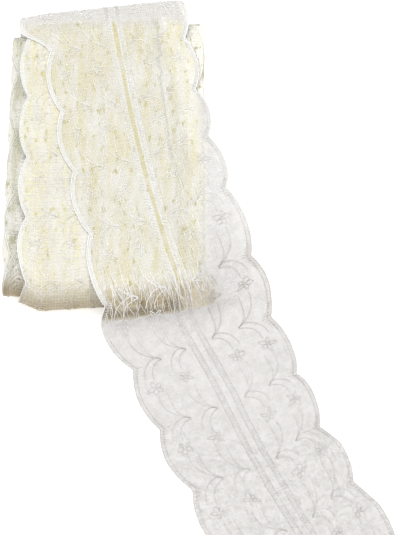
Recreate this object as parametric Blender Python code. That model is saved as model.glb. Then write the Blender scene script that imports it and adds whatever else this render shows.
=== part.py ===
"""A roll of lace trim: one long strip of scalloped lace wound flat, its loose end drawn off over the front.

Metres, +Z up. The origin is the middle of the roll's flat base, on the surface that it rests on.
+Y runs along the roll towards its far fold, and the loose end runs off towards -Y and +X.
"""

import math

import bmesh
import bpy
import numpy as np

# The lace strip
LACE_WIDTH = 0.080
REPEAT = 0.036
SCALLOP_DEPTH = 0.0045
LOBE_ROUNDNESS = 0.75
LOOSE_PHASE = 0.48

# The wound roll: an oval of laps with a flat base
ROLL_LENGTH = 0.160
ROLL_HEIGHT = 0.026
CORE_DEPTH = 0.05
GROUP_STEP = 0.015
FAR_SLANT = math.tan(math.radians(1.8))
FRONT_SLANT = math.tan(math.radians(3.2))
FAR_STRETCH = 1.02
FAR_LEAN = 0.003
FRONT_SAG = 0.003
FRONT_ROUND_FROM = 0.028
FRONT_ROUND_OVER = 0.022
FRONT_ROUND_BY = 0.13
RIM_SLUMP_FROM = 0.040
RIM_SLUMP_OVER = 0.006
RIM_SLUMP_REACH = 0.045
RIM_SLUMP_LOWER = 0.35
SIDE_THIN_FROM = 0.028
SIDE_THIN_OVER = 0.020
SIDE_THIN_BY = 0.10
RIDGE_HEIGHT = 0.0006
RIDGE_PITCH = 0.031

# The loose end: a sheet that lies on the roll, drops over its front fold and runs out on the surface
SHEET_THICK = 0.0010
REST_GAP = 0.0005
TUCK_RADIUS = 0.0135
TUCK_START = math.radians(-62)
FOLD_HEADING = math.radians(7.0)
BRINK_PLACE = 0.1490
BRINK_SLANT = 0.20
DROP_RADIUS = 0.0155
DROP_ANGLE = math.radians(78)
FOOT_RADIUS = 0.0060
RAMP_BEFORE = 0.036
RAMP_AFTER = 0.058
WIDTH_ON_ROLL = 0.94
FLARE_BY = 0.25
FLARE_OVER = 0.016
SETTLE_OVER = 0.034

# Mesh steps
STATION_STEP = 0.0036
ARC_STATIONS = 5
RIM_COLUMNS = 10
SHEET_COLUMNS = 12

# A row for each bundle of laps, from the core out: outer depth as a share of the roll's half height,
# sideways shift in metres, skew in degrees, and where its scallops start as a share of a repeat
LAP_GROUPS = [
    {"depth": 0.30, "shift": 0.0010, "skew": 0.8, "phase": 0.10},
    {"depth": 0.46, "shift": -0.0050, "skew": -1.0, "phase": 0.55},
    {"depth": 0.62, "shift": -0.0075, "skew": 0.9, "phase": 0.30},
    {"depth": 0.76, "shift": 0.0020, "skew": -1.5, "phase": 0.80},
    {"depth": 0.89, "shift": 0.0075, "skew": 0.8, "phase": 0.05},
    {"depth": 1.00, "shift": -0.0030, "skew": -0.5, "phase": 0.42},
]

# A row for each place that the loose end's middle passes, in plan, from its far fold to its cut end
LOOSE_PATH = [
    {"x": 0.0035, "y": 0.0800},
    {"x": 0.0073, "y": 0.0540},
    {"x": 0.0110, "y": 0.0290},
    {"x": 0.0152, "y": 0.0040},
    {"x": 0.0200, "y": -0.0210},
    {"x": 0.0256, "y": -0.0460},
    {"x": 0.0306, "y": -0.0660},
    {"x": 0.0366, "y": -0.0830},
    {"x": 0.0438, "y": -0.0990},
    {"x": 0.0534, "y": -0.1210},
    {"x": 0.0624, "y": -0.1430},
    {"x": 0.0717, "y": -0.1650},
    {"x": 0.0820, "y": -0.1870},
    {"x": 0.0927, "y": -0.2090},
    {"x": 0.0986, "y": -0.2210},
    {"x": 0.1055, "y": -0.2350},
]

# A row for each place along the loose end, as a distance past the front brink: how far its right side
# lags behind its left in plan, in metres, and the share that is left of its width on each side where it
# has crumpled
SIDE_SETTLE = [
    {"past": -0.149, "lag": 0.0000, "left": 1.00, "right": 1.00},
    {"past": -0.094, "lag": 0.0040, "left": 1.00, "right": 1.00},
    {"past": -0.058, "lag": 0.0100, "left": 1.00, "right": 1.02},
    {"past": -0.022, "lag": 0.0120, "left": 1.00, "right": 1.07},
    {"past": 0.014, "lag": 0.0040, "left": 1.00, "right": 1.12},
    {"past": 0.050, "lag": 0.0010, "left": 0.95, "right": 1.03},
    {"past": 0.086, "lag": 0.0000, "left": 1.00, "right": 0.92},
    {"past": 0.122, "lag": 0.0085, "left": 1.00, "right": 0.90},
    {"past": 0.158, "lag": 0.0095, "left": 1.00, "right": 0.90},
    {"past": 0.200, "lag": 0.0100, "left": 0.98, "right": 0.97},
]

# A row for each low wave of the loose end on the surface: its middle as a distance from the front brink,
# its place across, its length, its width and its height, in metres
FLOOR_WAVES = [
    {"along": 0.082, "across": 0.036, "length": 0.015, "width": 0.024, "height": 0.0055},
    {"along": 0.122, "across": -0.030, "length": 0.012, "width": 0.020, "height": 0.0022},
    {"along": 0.136, "across": 0.030, "length": 0.011, "width": 0.022, "height": 0.0034},
    {"along": 0.160, "across": -0.008, "length": 0.010, "width": 0.030, "height": 0.0024},
]


def clear_scene():
    for thing in list(bpy.data.objects):
        bpy.data.objects.remove(thing, do_unlink=True)


def smooth_step(value):
    share = min(1.0, max(0.0, value))
    return share * share * (3 - 2 * share)


def mix(first, second, share):
    return first + (second - first) * share


def half_width(repeats):
    """Half the strip's width where that many repeats of its scallops have passed."""
    lobe = abs(math.sin(math.pi * repeats)) ** LOBE_ROUNDNESS
    return LACE_WIDTH / 2 - SCALLOP_DEPTH * (1 - lobe)


def fabric(name, colour, roughness):
    """A matt cloth material."""
    made = bpy.data.materials.new(name)
    made.use_nodes = True
    shader = made.node_tree.nodes["Principled BSDF"]
    shader.inputs["Base Color"].default_value = (*colour, 1.0)
    shader.inputs["Roughness"].default_value = roughness
    shader.inputs["Metallic"].default_value = 0.0
    return made


def place(mesh, name, material):
    """Shades a finished mesh, gives it its material and puts it in the scene as an object."""
    made = bpy.data.meshes.new(name)
    mesh.to_mesh(made)
    mesh.free()
    made.materials.append(material)
    made.shade_smooth()
    made.set_sharp_from_angle(angle=math.radians(40))
    thing = bpy.data.objects.new(name, made)
    bpy.context.scene.collection.objects.link(thing)
    return thing


def oval_half(depth):
    """The upper half of a lap's oval, far tip to front tip, as (along, height above the middle) pairs."""
    radius = depth * ROLL_HEIGHT / 2
    run = ROLL_LENGTH / 2 - ROLL_HEIGHT / 2
    quarter = [math.pi / 2 * (i + 0.5) / ARC_STATIONS for i in range(ARC_STATIONS)]
    steps = round(2 * run / STATION_STEP)
    far = [(run + radius * math.cos(a), radius * math.sin(a)) for a in quarter]
    flat = [(run - 2 * run * (i + 0.5) / steps, radius) for i in range(steps)]
    front = [(-y, z) for y, z in reversed(far)]
    return far + flat + front


def oval(depth):
    """A lap's whole oval, over the top and back along the base."""
    upper = oval_half(depth)
    return upper + [(y, -z) for y, z in reversed(upper)]


def side_share(x):
    """What is left of the roll's height that far out to the side."""
    return 1 - SIDE_THIN_BY * smooth_step((abs(x) - SIDE_THIN_FROM) / SIDE_THIN_OVER)


def rim_slump(x, y):
    """How far the laps at the left rim have slumped forward over the front fold, from 0 to 1."""
    return smooth_step((-x - RIM_SLUMP_FROM) / RIM_SLUMP_OVER) * smooth_step((-y - 0.045) / 0.025)


def settle(x, y, z):
    """A point of the neat oval as it really lies: thinner at its sides and ridged, its folds slanted and
    leaning a little outward, its front corners rounded and its left rim slumped."""
    height = (z + ROLL_HEIGHT / 2) * side_share(x)
    ridge = RIDGE_HEIGHT * (1 - math.cos(2 * math.pi * x / RIDGE_PITCH)) * height / ROLL_HEIGHT
    near_end = min(1.0, abs(y) / (ROLL_LENGTH / 2))
    rise = height / ROLL_HEIGHT
    slump = rim_slump(x, y)
    height *= 1 - RIM_SLUMP_LOWER * slump
    if y < 0:
        y *= 1 - FRONT_ROUND_BY * smooth_step((abs(x) - FRONT_ROUND_FROM) / FRONT_ROUND_OVER)
        y *= 1 + RIM_SLUMP_REACH * slump
        y += (FRONT_SLANT * x - FRONT_SAG * (1 - rise)) * near_end
    else:
        y = y * FAR_STRETCH + (FAR_SLANT * x + FAR_LEAN * rise) * near_end
    return (x, y, height - ridge)


def lap_edges(group, points):
    """The left and right edge of a group of laps, one x for each point of its oval."""
    spans = [math.dist(points[i - 1], points[i]) for i in range(len(points))]
    whole = round(sum(spans) / REPEAT)
    walked = np.cumsum(spans) / sum(spans) * whole
    middle = [group["shift"] + math.tan(math.radians(group["skew"])) * y for y, z in points]
    half = [half_width(passed + group["phase"]) for passed in walked]
    left = [m - h for m, h in zip(middle, half)]
    right = [m + h for m, h in zip(middle, half)]
    return left, right


def ring(mesh, points, across):
    """A closed loop of vertices on the settled oval."""
    return [mesh.verts.new(settle(x, y, z)) for x, (y, z) in zip(across, points)]


def join_rings(mesh, first, second):
    """A closed band of faces between two loops."""
    for i in range(len(first)):
        mesh.faces.new((first[i - 1], first[i], second[i], second[i - 1]))


def close_core(mesh, loop):
    """Closes the innermost loop with a strip of faces from its upper to its lower half."""
    last = len(loop) - 1
    for i in range(len(loop) // 2 - 1):
        mesh.faces.new((loop[i], loop[i + 1], loop[last - i - 1], loop[last - i]))


def make_roll(material):
    """The wound roll: its sides step in and out where bundles of laps lie a little apart."""
    mesh = bmesh.new()
    sides = {"left": [], "right": []}
    inner = CORE_DEPTH
    for group in LAP_GROUPS:
        edges = dict(zip(("left", "right"), lap_edges(group, oval((inner + group["depth"]) / 2))))
        for side, rings in sides.items():
            for depth in (inner, group["depth"]):
                rings.append(ring(mesh, oval(depth), edges[side]))
        inner = group["depth"] + GROUP_STEP
    for rings in sides.values():
        close_core(mesh, rings[0])
        for first, second in zip(rings, rings[1:]):
            join_rings(mesh, first, second)
    points = oval(1.0)
    left, right = lap_edges(LAP_GROUPS[-1], points)
    before = sides["left"][-1]
    for column in range(1, RIM_COLUMNS):
        share = column / RIM_COLUMNS
        across = [mix(a, b, share) for a, b in zip(left, right)]
        following = ring(mesh, points, across)
        join_rings(mesh, before, following)
        before = following
    join_rings(mesh, before, sides["right"][-1])
    bmesh.ops.recalc_face_normals(mesh, faces=mesh.faces)
    return place(mesh, "wound_roll", material)


def plan_line():
    """The loose end's middle line in plan: where a smooth curve through its rows lies by distance."""
    rows = np.array([(row["x"], row["y"]) for row in LOOSE_PATH])
    first = rows[0] * 2 - rows[1]
    last = rows[-1] * 2 - rows[-2]
    knots = np.vstack([first, rows, last])
    points = []
    for i in range(1, len(knots) - 2):
        for t in np.linspace(0, 1, 12, endpoint=False):
            a, b, c, d = knots[i - 1 : i + 3]
            points.append(
                0.5
                * (
                    2 * b
                    + (c - a) * t
                    + (2 * a - 5 * b + 4 * c - d) * t**2
                    + (3 * b - a - 3 * c + d) * t**3
                )
            )
    points = np.array(points + [rows[-1]])
    steps = np.linalg.norm(np.diff(points, axis=0), axis=1)
    return points, np.concatenate([[0], np.cumsum(steps)])


def on_line(line, distance):
    """The middle line's place and heading at a distance from its far fold."""
    points, walked = line
    reach = 0.008
    here = [np.interp(distance, walked, points[:, k]) for k in (0, 1)]
    behind = [np.interp(distance - reach, walked, points[:, k]) for k in (0, 1)]
    ahead = [np.interp(distance + reach, walked, points[:, k]) for k in (0, 1)]
    heading = math.atan2(ahead[0] - behind[0], behind[1] - ahead[1])
    share = smooth_step(distance / 0.04)
    return here, mix(FOLD_HEADING, heading, share)


def drop_profile(past):
    """The sheet over the front fold, that far past its brink: how far it is in plan, and its height."""
    top = ROLL_HEIGHT + REST_GAP
    turn = DROP_RADIUS * DROP_ANGLE
    turn_plan = DROP_RADIUS * math.sin(DROP_ANGLE)
    turn_drop = DROP_RADIUS * (1 - math.cos(DROP_ANGLE))
    foot = FOOT_RADIUS * DROP_ANGLE
    foot_plan = FOOT_RADIUS * math.sin(DROP_ANGLE)
    foot_drop = FOOT_RADIUS * (1 - math.cos(DROP_ANGLE))
    fall = (top - turn_drop - foot_drop) / math.sin(DROP_ANGLE)
    fall_plan = fall * math.cos(DROP_ANGLE)
    if past < 0:
        return past, top
    if past < turn:
        angle = past / DROP_RADIUS
        return DROP_RADIUS * math.sin(angle), top - DROP_RADIUS * (1 - math.cos(angle))
    if past < turn + fall:
        fallen = past - turn
        return turn_plan + fallen * math.cos(DROP_ANGLE), top - turn_drop - fallen * math.sin(DROP_ANGLE)
    if past < turn + fall + foot:
        angle = DROP_ANGLE - (past - turn - fall) / FOOT_RADIUS
        run = turn_plan + fall_plan + foot_plan - FOOT_RADIUS * math.sin(angle)
        return run, FOOT_RADIUS * (1 - math.cos(angle))
    return turn_plan + fall_plan + foot_plan + (past - turn - fall - foot), 0.0


def ramp_profile(past):
    """The same for the side that overhangs the roll: it comes down in one long slope."""
    steep_end = RAMP_AFTER
    lost = steep_end - drop_profile(steep_end)[0]
    share = (past + RAMP_BEFORE) / (RAMP_AFTER + RAMP_BEFORE)
    height = (ROLL_HEIGHT + REST_GAP) * (1 - smooth_step(share))
    return past - lost * min(1.0, max(0.0, share)), height


def floor_wave(past, across):
    """How far the sheet lifts off the surface in its low waves."""
    lift = 0.0
    for wave in FLOOR_WAVES:
        along = (past - wave["along"]) / wave["length"]
        side = (across - wave["across"]) / wave["width"]
        lift += wave["height"] * math.exp(-(along**2) - side**2)
    return lift


def fold_flare(past_fold, across):
    """How much wider the sheet's left side spreads where it turns over the far fold."""
    leftness = min(1.0, max(0.0, -2 * across / LACE_WIDTH))
    return 1 + FLARE_BY * leftness * smooth_step(1 - past_fold / FLARE_OVER)


def side_settle(past_brink, across):
    """How far a place on the sheet lags in plan, and what share of its distance from the middle is left."""
    places = [row["past"] for row in SIDE_SETTLE]
    lag, left, right = (
        float(np.interp(past_brink, places, [row[name] for row in SIDE_SETTLE]))
        for name in ("lag", "left", "right")
    )
    rightness = smooth_step(across / SETTLE_OVER)
    leftness = smooth_step(-across / SETTLE_OVER)
    return lag * rightness, 1 + (left - 1) * leftness + (right - 1) * rightness


def loose_point(line, walked, across):
    """A point of the loose end's underside: walked from its tucked end, and that far from its middle."""
    tuck = TUCK_RADIUS * (math.pi / 2 - TUCK_START)
    if walked < tuck:
        angle = TUCK_START + walked / TUCK_RADIUS
        back = TUCK_RADIUS * math.cos(angle)
        height = ROLL_HEIGHT / 2 + TUCK_RADIUS * math.sin(angle)
        side = across * WIDTH_ON_ROLL * fold_flare(0.0, across)
        x = LOOSE_PATH[0]["x"] + side * math.cos(FOLD_HEADING) - back * math.sin(FOLD_HEADING)
        y = LOOSE_PATH[0]["y"] + side * math.sin(FOLD_HEADING) + back * math.cos(FOLD_HEADING)
        return (x, y, height * side_share(x))
    past = walked - tuck - BRINK_PLACE - BRINK_SLANT * across
    overhang = smooth_step((across - 0.006) / 0.030)
    steep_plan, steep_height = drop_profile(past)
    ramp_plan, ramp_height = ramp_profile(past)
    lag, kept = side_settle(walked - tuck - BRINK_PLACE, across)
    gone = past - mix(steep_plan, ramp_plan, overhang) + lag
    height = mix(steep_height, ramp_height, overhang)
    (x, y), heading = on_line(line, walked - tuck - gone)
    side = across * mix(WIDTH_ON_ROLL, 1.0, smooth_step((past + 0.02) / 0.05))
    side *= kept * fold_flare(walked - tuck, across)
    x += side * math.cos(heading)
    y += side * math.sin(heading)
    return (x, y, height * side_share(x) + floor_wave(past, across))


def make_loose_end(material):
    """The loose end: a sheet with scalloped sides, given its thickness away from the roll and the surface."""
    line = plan_line()
    tuck = TUCK_RADIUS * (math.pi / 2 - TUCK_START)
    lost = RAMP_AFTER - drop_profile(RAMP_AFTER)[0]
    length = tuck + line[1][-1] + lost
    stations = round(length / STATION_STEP)
    mesh = bmesh.new()
    rows = []
    for i in range(stations + 1):
        walked = length * i / stations
        half = half_width(walked / REPEAT + LOOSE_PHASE)
        across = [half * (2 * k / SHEET_COLUMNS - 1) for k in range(SHEET_COLUMNS + 1)]
        rows.append([mesh.verts.new(loose_point(line, walked, u)) for u in across])
    for first, second in zip(rows, rows[1:]):
        for k in range(SHEET_COLUMNS):
            mesh.faces.new((first[k], second[k], second[k + 1], first[k + 1]))
    sheet = place(mesh, "loose_end", material)
    solid = sheet.modifiers.new("thickness", "SOLIDIFY")
    solid.thickness = SHEET_THICK
    solid.offset = 1.0
    solid.use_even_offset = True
    return sheet


def main():
    clear_scene()
    cream = fabric("cream_lace_laps", (0.86, 0.82, 0.67), 0.85)
    pale = fabric("ivory_lace_sheet", (0.84, 0.82, 0.78), 0.85)
    make_roll(cream)
    make_loose_end(pale)


main()
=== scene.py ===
"""The looks of a flat-wound roll of scalloped lace trim, its loose end drawn off over the front fold.

A place on the lace strip is (v, u): how far along the strip, and how far from its middle. Each surface
function turns such places into points in space. The threads of the lace are drawn on the strip and then laid
on a surface. Metres, +Z up, the origin in the middle of the roll's flat base.
"""

import math

import bpy
import numpy as np
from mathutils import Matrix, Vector


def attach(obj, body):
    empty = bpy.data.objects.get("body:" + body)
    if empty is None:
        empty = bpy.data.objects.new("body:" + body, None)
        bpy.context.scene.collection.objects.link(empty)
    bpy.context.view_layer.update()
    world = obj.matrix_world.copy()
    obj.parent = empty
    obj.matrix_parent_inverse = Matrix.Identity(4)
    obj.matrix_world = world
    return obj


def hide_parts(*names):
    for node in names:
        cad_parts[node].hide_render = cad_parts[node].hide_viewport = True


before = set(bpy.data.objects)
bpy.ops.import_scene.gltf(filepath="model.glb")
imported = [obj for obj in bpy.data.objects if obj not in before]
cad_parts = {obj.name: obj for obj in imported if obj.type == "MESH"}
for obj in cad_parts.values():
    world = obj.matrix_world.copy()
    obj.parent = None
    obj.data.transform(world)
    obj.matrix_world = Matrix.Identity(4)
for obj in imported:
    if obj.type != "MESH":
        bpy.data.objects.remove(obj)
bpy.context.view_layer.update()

# The lace strip
LACE_WIDTH = 0.080
REPEAT = 0.036
SCALLOP_DEPTH = 0.0045
LOBE_ROUNDNESS = 0.75
LOOSE_PHASE = 0.48

# The wound roll: an oval of laps with a flat base
ROLL_LENGTH = 0.160
ROLL_HEIGHT = 0.026
ROLL_RUN = ROLL_LENGTH / 2 - ROLL_HEIGHT / 2
FAR_SLANT = math.tan(math.radians(1.8))
FRONT_SLANT = math.tan(math.radians(3.2))
FAR_STRETCH = 1.02
FAR_LEAN = 0.003
FRONT_SAG = 0.003
FRONT_ROUND_FROM = 0.028
FRONT_ROUND_OVER = 0.022
FRONT_ROUND_BY = 0.13
RIM_SLUMP_FROM = 0.040
RIM_SLUMP_OVER = 0.006
RIM_SLUMP_AHEAD = 0.045
RIM_SLUMP_FADE = 0.025
RIM_SLUMP_REACH = 0.045
RIM_SLUMP_LOWER = 0.35
SIDE_THIN_FROM = 0.028
SIDE_THIN_OVER = 0.020
SIDE_THIN_BY = 0.10
PRESSED_BY = 0.14
PRESSED_FROM = (0.040, -0.010)
PRESSED_OVER = (0.006, 0.020)
LAP_LOWEST = 0.00045
LAP_WIDTH_SHARE = 0.94
DEEP_WIDTH_SHARE = 0.99

# The loose end: tucked under at the far fold, over the roll, down its front fold and out on the surface
REST_GAP = 0.0005
TUCK_RADIUS = 0.0135
TUCK_START = math.radians(-62)
FOLD_HEADING = math.radians(7.0)
BRINK_PLACE = 0.1490
BRINK_SLANT = 0.20
DROP_RADIUS = 0.0155
DROP_ANGLE = math.radians(78)
FOOT_RADIUS = 0.0060
RAMP_BEFORE = 0.036
RAMP_AFTER = 0.058
OVERHANG_FROM = 0.006
OVERHANG_OVER = 0.030
HEADING_REACH = 0.008
HEADING_OVER = 0.04
SPREAD_FROM = -0.02
SPREAD_OVER = 0.05
SHEET_LIFT = 0.0005
LIFT_FROM = -0.005
LIFT_OVER = 0.02
WIDTH_ON_ROLL = 0.94
FLARE_BY = 0.25
FLARE_OVER = 0.016
SETTLE_OVER = 0.034

# Threads: spacings, radii and lifts off the strip. Wales run along the strip and rows across it. The real
# wales are about 1.3 mm apart and the real rows closer. The rows are drawn coarser, and the ground cloth
# stands for the rest.
WALE_PITCH = 0.00140
ROW_PITCH = 0.0020
WALE_RADIUS = 0.00013
LAP_WALE_RADIUS = 0.00009
ROW_RADIUS = 0.00010
LAP_ROW_RADIUS = 0.00017
CORD_RADIUS = 0.00034
OUTLINE_RADIUS = 0.00021
FILL_RADIUS = 0.00013
RUNG_PITCH = 0.0018
LADDER_COLUMNS = (0.0017, 0.0042)
BORDER_BAND = 0.0024
BORDER_INSET = 0.00045
BORDER_STEP = 0.0012
BORDER_ZIGZAG_STEP = 0.0009
HATCH_EACH_SIDE = 5
HATCH_PITCH = 0.0014
HATCH_REACH = 0.0044
HATCH_TAPER = 0.00032
HATCH_INSET = 0.0012
HATCH_SLANT = 0.0003
BORDER_LIFT = 0.00010
LADDER_LIFT = 0.00014
FIGURE_LIFT = 0.00022
FRAY_LIFT = 0.00030
THREAD_LOWEST = 0.00025
LAP_WALE_STEP = 0.0026
LOOSE_WALE_STEP = 0.0020
RAIL_STEP = 0.0026
WALE_SWAY = 0.00032
WALE_QUIVER = 0.00010
ROW_SWAY = 0.00045
ROW_UNEVEN = 0.00030
ROW_ZIGZAG = 0.00030

# The tufts of strands that the front fold draws out: the places of the first and the last, and how many
FRAY_PLACES = (-0.036, 0.014, 24)
FRAY_STRANDS = 3
FRAY_SEED = 5

# How much of the light the fine ground stops, on each stretch of the loose end and on the outer lap
FOLD_COVER = 0.86
ROLL_COVER = 0.58
# The drop and its slits are closer, so that the painted shade behind their threads shows
DROP_COVER = 0.72
SLIT_COVER = 0.90
TAIL_COVER = 0.94
OVERHANG_COVER = 0.85
LAP_COVER = 0.88
LAP_BORDER_COVER = 0.95

# How pale the closer work of the borders and of the ladders looks, as a share
BORDER_PALE = 0.8
LADDER_PALE = 0.45

# Where each look of the loose end starts and over how far it fades in, in metres: seven along it, past the
# front brink, and three across it
ON_FLOOR = (0.0275, 0.003)
FINER = (0.03, 0.01)
SLOWLY_FINER = (0.03, 0.02)
DROP_TOP = (0.005, 0.006)
DROP_FOOT = (0.031, 0.003)
SLIT_TOP = (0.0215, 0.003)
# Where the painted brown shade behind the drop starts
DROP_SHADE_TOP = (0.008, 0.012)
DROP_RIGHT = (0.019, 0.010)
SLIT_RIGHT = (0.003, 0.006)
OVERHANG_CLOSE = (0.022, 0.006)

# The same for places in space: y at the far fold, and x over the right side
CLEAR_FOLD = (0.0725, 0.007)
CLEAR_SIDE = (0.043, 0.006)

# Half of the gap between the two ladders, where the roll shows
GAP_HALF_WIDTH = 0.0008

# The places that the loose end's middle passes, in plan, from its far fold to its cut end
LOOSE_PATH = np.array([
    (0.0035, 0.0800), (0.0073, 0.0540), (0.0110, 0.0290), (0.0152, 0.0040),
    (0.0200, -0.0210), (0.0256, -0.0460), (0.0306, -0.0660), (0.0366, -0.0830),
    (0.0438, -0.0990), (0.0534, -0.1210), (0.0624, -0.1430), (0.0717, -0.1650),
    (0.0820, -0.1870), (0.0927, -0.2090), (0.0986, -0.2210), (0.1055, -0.2350),
])

# A row for each low wave of the loose end on the surface: its middle as a distance past the front brink,
# its place across, its length, its width and its height, in metres
FLOOR_WAVES = [
    {"along": 0.082, "across": 0.036, "length": 0.015, "width": 0.024, "height": 0.0055},
    {"along": 0.122, "across": -0.030, "length": 0.012, "width": 0.020, "height": 0.0022},
    {"along": 0.136, "across": 0.030, "length": 0.011, "width": 0.022, "height": 0.0034},
    {"along": 0.160, "across": -0.008, "length": 0.010, "width": 0.030, "height": 0.0024},
]

# A row for each place along the loose end, as a distance past the front brink: how far its right side lags
# behind its left in plan, and the share that is left of its width on each side where it has crumpled
SIDE_SETTLE = [
    {"past": -0.149, "lag": 0.0000, "left": 1.00, "right": 1.00},
    {"past": -0.094, "lag": 0.0040, "left": 1.00, "right": 1.00},
    {"past": -0.058, "lag": 0.0100, "left": 1.00, "right": 1.02},
    {"past": -0.022, "lag": 0.0120, "left": 1.00, "right": 1.07},
    {"past": 0.014, "lag": 0.0040, "left": 1.00, "right": 1.12},
    {"past": 0.050, "lag": 0.0010, "left": 0.95, "right": 1.03},
    {"past": 0.086, "lag": 0.0000, "left": 1.00, "right": 0.92},
    {"past": 0.122, "lag": 0.0085, "left": 1.00, "right": 0.90},
    {"past": 0.158, "lag": 0.0095, "left": 1.00, "right": 0.90},
    {"past": 0.200, "lag": 0.0100, "left": 0.98, "right": 0.97},
]

# A row for each bundle of laps, from the core out: outer depth as a share of the roll's half height,
# sideways shift and skew of its laps
LAP_GROUPS = [
    {"depth": 0.30, "shift": 0.0010, "skew": 0.8},
    {"depth": 0.46, "shift": -0.0050, "skew": -1.0},
    {"depth": 0.62, "shift": -0.0075, "skew": 0.9},
    {"depth": 0.76, "shift": 0.0020, "skew": -1.5},
    {"depth": 0.89, "shift": 0.0075, "skew": 0.8},
    {"depth": 1.00, "shift": -0.0030, "skew": -0.5},
]

# A row for each single lap that shows, as for the bundles, with the phase at which its scallops start: the
# two outer laps, and the lap at each rim
OUTER_LAP = {"depth": 0.985, "shift": -0.0040, "skew": -0.5, "phase": 0.42}
SECOND_LAP = {"depth": 0.93, "shift": 0.0030, "skew": 0.4, "phase": 0.05}
RIM_LAPS = [
    {"depth": 0.625, "shift": -0.0078, "skew": 0.9, "phase": 0.10},
    {"depth": 0.890, "shift": 0.0080, "skew": 0.8, "phase": 0.65},
]
OUTER_GROUND_DEPTH = 0.983

# The deeper laps: depths of the first and the last and the step between them, and how unevenly they lie
DEEP_LAPS = (0.12, 0.90, 0.034)
DEEP_FIRST_PHASE = 0.3
DEEP_SEED = 11
DEEP_SHIFT_UNEVEN = 0.0011
DEEP_SKEW_UNEVEN = 0.35
DEEP_STATIONS = 96
DEEP_RIBBON = 0.012
RIM_RIBBON = 0.022
RIM_THREADS_ABOVE = 0.012
RIM_THREADS_BEYOND = 0.024
RIBBON_CORD_RADIUS = 0.00024
RIBBON_CORD_INSET = 0.0002
RIBBON_FOLD = 0.0028

# The wound mass inside the laps: its depth, half its width, and its points along and across
INNER_DEPTH = 0.885
INNER_HALF_WIDTH = 0.030
INNER_STATIONS = 120
INNER_COLUMNS = 13

# The curves of one flower spray as (across, along) in millimetres from the middle line and the repeat's
# start, and its flower's middle and reach. The outer spray roots 20 mm out, and the inner one by the ladder.
OUTER_SPRAY = {
    "stems": [
        [(20.0, 0.0), (23.0, -1.6), (27.0, -0.4), (30.5, 3.0), (32.2, 8.0)],
        [(20.0, 0.3), (22.6, 0.8), (25.4, 2.6), (27.4, 5.6), (28.2, 9.6)],
    ],
    "flower": (29.2, 14.0, 3.9),
    "leaves": [
        [(29.6, 18.6), (29.9, 23.0), (28.4, 28.4), (24.8, 32.6), (20.0, 36.0)],
        [(25.0, 19.4), (25.3, 25.0), (24.8, 30.0), (23.2, 33.0), (20.0, 35.6)],
    ],
}
INNER_SPRAY = {
    "stems": [
        [(6.8, 0.0), (9.4, -1.6), (13.0, -0.4), (16.0, 3.0), (17.4, 8.0)],
        [(6.8, 0.3), (8.8, 0.8), (11.2, 2.6), (12.8, 5.6), (13.2, 9.6)],
    ],
    "flower": (13.4, 14.0, 3.7),
    "leaves": [
        [(15.6, 18.6), (15.9, 23.0), (14.6, 28.4), (11.2, 32.6), (6.8, 36.0)],
        [(11.4, 19.4), (11.7, 25.0), (11.2, 30.0), (9.6, 33.0), (6.8, 35.6)],
    ],
}


def crease(x, y):
    """How far the top of the roll stands above or below flat there: two low waves, 0.30 and 0.25 mm high."""
    return 0.00030 * np.sin(x * 150 + 2.0 * np.sin(y * 60)) + 0.00025 * np.sin(y * 95 + x * 70)


def smooth_step(value):
    share = np.clip(value, 0.0, 1.0)
    return share * share * (3 - 2 * share)


def half_width(repeats):
    """Half the strip's width where that many repeats of its scallops have passed."""
    lobe = np.abs(np.sin(np.pi * repeats)) ** LOBE_ROUNDNESS
    return LACE_WIDTH / 2 - SCALLOP_DEPTH * (1 - lobe)


def side_share(x):
    """What is left of the roll's height that far out to the side."""
    return 1 - SIDE_THIN_BY * smooth_step((np.abs(x) - SIDE_THIN_FROM) / SIDE_THIN_OVER)


def rim_slump(x, y):
    """How far the laps at the left rim have slumped forward over the front fold, from 0 to 1."""
    outward = smooth_step((-x - RIM_SLUMP_FROM) / RIM_SLUMP_OVER)
    return outward * smooth_step((-y - RIM_SLUMP_AHEAD) / RIM_SLUMP_FADE)


def pressed_share(x, y):
    """How far the loose end presses the laps down at the right rim, from 0 to 1."""
    outward = smooth_step((x - PRESSED_FROM[0]) / PRESSED_OVER[0])
    return outward * smooth_step((PRESSED_FROM[1] - y) / PRESSED_OVER[1])


# Surfaces


def lap_length(depth):
    """The distance once round a lap."""
    return 4 * ROLL_RUN + 2 * math.pi * depth * ROLL_HEIGHT / 2


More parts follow.
